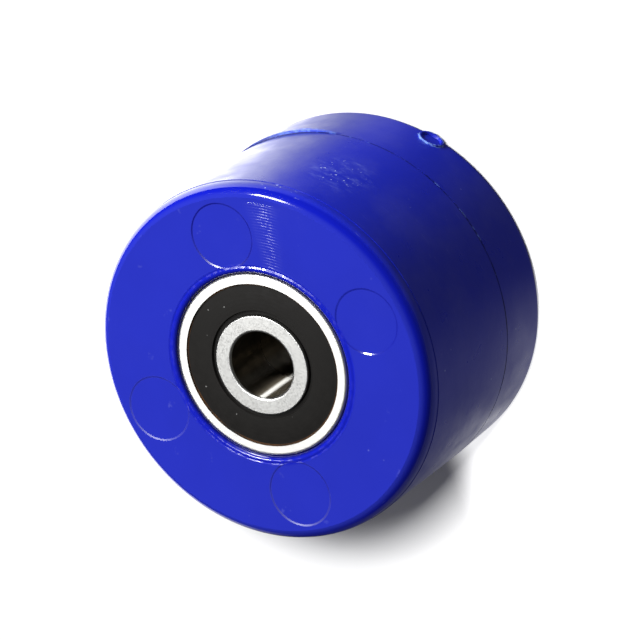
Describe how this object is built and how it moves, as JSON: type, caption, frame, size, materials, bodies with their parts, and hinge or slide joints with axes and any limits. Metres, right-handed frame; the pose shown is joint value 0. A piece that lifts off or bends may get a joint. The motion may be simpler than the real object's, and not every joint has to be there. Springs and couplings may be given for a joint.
{
  "type": "chain guide roller",
  "caption": "Moulded plastic roller that guides a chain; it turns on two sealed ball bearings around a through bolt, with a spacer tube between them.",
  "frame": {"origin": "on the roller's axis at its rear end face, on which it stands", "axes": "+Z along the roller's axis, from the rear face to the front face; X and Y across it"},
  "size_m": [0.0435, 0.0434, 0.029],
  "materials": {
    "roller_plastic": "semi-gloss royal blue moulded plastic with mould marks",
    "ring_steel": "ground bearing steel",
    "ball_steel": "polished bearing steel",
    "cage_steel": "pressed steel sheet",
    "seal_rubber": "black moulded rubber",
    "spacer_steel": "turned steel tube"
  },
  "bodies": {
    "axle_core": {"front_inner_ring": "ring_steel", "rear_inner_ring": "ring_steel", "spacer_tube": "spacer_steel"},
    "roller": {"roller_body": "roller_plastic", "front_outer_ring": "ring_steel", "rear_outer_ring": "ring_steel", "front_outer_seal": "seal_rubber", "front_inner_seal": "seal_rubber", "rear_outer_seal": "seal_rubber", "rear_inner_seal": "seal_rubber"},
    "front_cage": {"front_cage_outer_half": "cage_steel", "front_cage_inner_half": "cage_steel"},
    "front_ball_1": {"front_ball_1": "ball_steel"},
    "front_ball_2": {"front_ball_2": "ball_steel"},
    "front_ball_3": {"front_ball_3": "ball_steel"},
    "front_ball_4": {"front_ball_4": "ball_steel"},
    "front_ball_5": {"front_ball_5": "ball_steel"},
    "front_ball_6": {"front_ball_6": "ball_steel"},
    "front_ball_7": {"front_ball_7": "ball_steel"},
    "rear_cage": {"rear_cage_outer_half": "cage_steel", "rear_cage_inner_half": "cage_steel"},
    "rear_ball_1": {"rear_ball_1": "ball_steel"},
    "rear_ball_2": {"rear_ball_2": "ball_steel"},
    "rear_ball_3": {"rear_ball_3": "ball_steel"},
    "rear_ball_4": {"rear_ball_4": "ball_steel"},
    "rear_ball_5": {"rear_ball_5": "ball_steel"},
    "rear_ball_6": {"rear_ball_6": "ball_steel"},
    "rear_ball_7": {"rear_ball_7": "ball_steel"}
  },
  "joints": [
    {"name": "roller_spin", "type": "hinge", "parent": "axle_core", "child": "roller", "pos_m": [0, 0, 0.0145], "axis": [0, 0, 1], "continuous": true},
    {"name": "front_cage_spin", "type": "hinge", "parent": "axle_core", "child": "front_cage", "pos_m": [0, 0, 0.0254], "axis": [0, 0, 1], "continuous": true},
    {"name": "front_ball_1_roll", "type": "hinge", "parent": "front_cage", "child": "front_ball_1", "pos_m": [0.00468, 0.00586, 0.0254], "axis": [0, 0, 1], "continuous": true},
    {"name": "front_ball_2_roll", "type": "hinge", "parent": "front_cage", "child": "front_ball_2", "pos_m": [-0.00167, 0.00731, 0.0254], "axis": [0, 0, 1], "continuous": true},
    {"name": "front_ball_3_roll", "type": "hinge", "parent": "front_cage", "child": "front_ball_3", "pos_m": [-0.00676, 0.00325, 0.0254], "axis": [0, 0, 1], "continuous": true},
    {"name": "front_ball_4_roll", "type": "hinge", "parent": "front_cage", "child": "front_ball_4", "pos_m": [-0.00676, -0.00325, 0.0254], "axis": [0, 0, 1], "continuous": true},
    {"name": "front_ball_5_roll", "type": "hinge", "parent": "front_cage", "child": "front_ball_5", "pos_m": [-0.00167, -0.00731, 0.0254], "axis": [0, 0, 1], "continuous": true},
    {"name": "front_ball_6_roll", "type": "hinge", "parent": "front_cage", "child": "front_ball_6", "pos_m": [0.00468, -0.00586, 0.0254], "axis": [0, 0, 1], "continuous": true},
    {"name": "front_ball_7_roll", "type": "hinge", "parent": "front_cage", "child": "front_ball_7", "pos_m": [0.0075, 0, 0.0254], "axis": [0, 0, 1], "continuous": true},
    {"name": "rear_cage_spin", "type": "hinge", "parent": "axle_core", "child": "rear_cage", "pos_m": [0, 0, 0.0036], "axis": [0, 0, 1], "continuous": true},
    {"name": "rear_ball_1_roll", "type": "hinge", "parent": "rear_cage", "child": "rear_ball_1", "pos_m": [0.00468, 0.00586, 0.0036], "axis": [0, 0, 1], "continuous": true},
    {"name": "rear_ball_2_roll", "type": "hinge", "parent": "rear_cage", "child": "rear_ball_2", "pos_m": [-0.00167, 0.00731, 0.0036], "axis": [0, 0, 1], "continuous": true},
    {"name": "rear_ball_3_roll", "type": "hinge", "parent": "rear_cage", "child": "rear_ball_3", "pos_m": [-0.00676, 0.00325, 0.0036], "axis": [0, 0, 1], "continuous": true},
    {"name": "rear_ball_4_roll", "type": "hinge", "parent": "rear_cage", "child": "rear_ball_4", "pos_m": [-0.00676, -0.00325, 0.0036], "axis": [0, 0, 1], "continuous": true},
    {"name": "rear_ball_5_roll", "type": "hinge", "parent": "rear_cage", "child": "rear_ball_5", "pos_m": [-0.00167, -0.00731, 0.0036], "axis": [0, 0, 1], "continuous": true},
    {"name": "rear_ball_6_roll", "type": "hinge", "parent": "rear_cage", "child": "rear_ball_6", "pos_m": [0.00468, -0.00586, 0.0036], "axis": [0, 0, 1], "continuous": true},
    {"name": "rear_ball_7_roll", "type": "hinge", "parent": "rear_cage", "child": "rear_ball_7", "pos_m": [0.0075, 0, 0.0036], "axis": [0, 0, 1], "continuous": true}
  ],
  "couplings": [
    {"joint": "front_cage_spin", "follows": "roller_spin", "ratio": 0.6323},
    {"joint": "front_ball_1_roll", "follows": "roller_spin", "ratio": 1.7573},
    {"joint": "front_ball_2_roll", "follows": "roller_spin", "ratio": 1.7573},
    {"joint": "front_ball_3_roll", "follows": "roller_spin", "ratio": 1.7573},
    {"joint": "front_ball_4_roll", "follows": "roller_spin", "ratio": 1.7573},
    {"joint": "front_ball_5_roll", "follows": "roller_spin", "ratio": 1.7573},
    {"joint": "front_ball_6_roll", "follows": "roller_spin", "ratio": 1.7573},
    {"joint": "front_ball_7_roll", "follows": "roller_spin", "ratio": 1.7573},
    {"joint": "rear_cage_spin", "follows": "roller_spin", "ratio": 0.6323},
    {"joint": "rear_ball_1_roll", "follows": "roller_spin", "ratio": 1.7573},
    {"joint": "rear_ball_2_roll", "follows": "roller_spin", "ratio": 1.7573},
    {"joint": "rear_ball_3_roll", "follows": "roller_spin", "ratio": 1.7573},
    {"joint": "rear_ball_4_roll", "follows": "roller_spin", "ratio": 1.7573},
    {"joint": "rear_ball_5_roll", "follows": "roller_spin", "ratio": 1.7573},
    {"joint": "rear_ball_6_roll", "follows": "roller_spin", "ratio": 1.7573},
    {"joint": "rear_ball_7_roll", "follows": "roller_spin", "ratio": 1.7573}
  ]
}
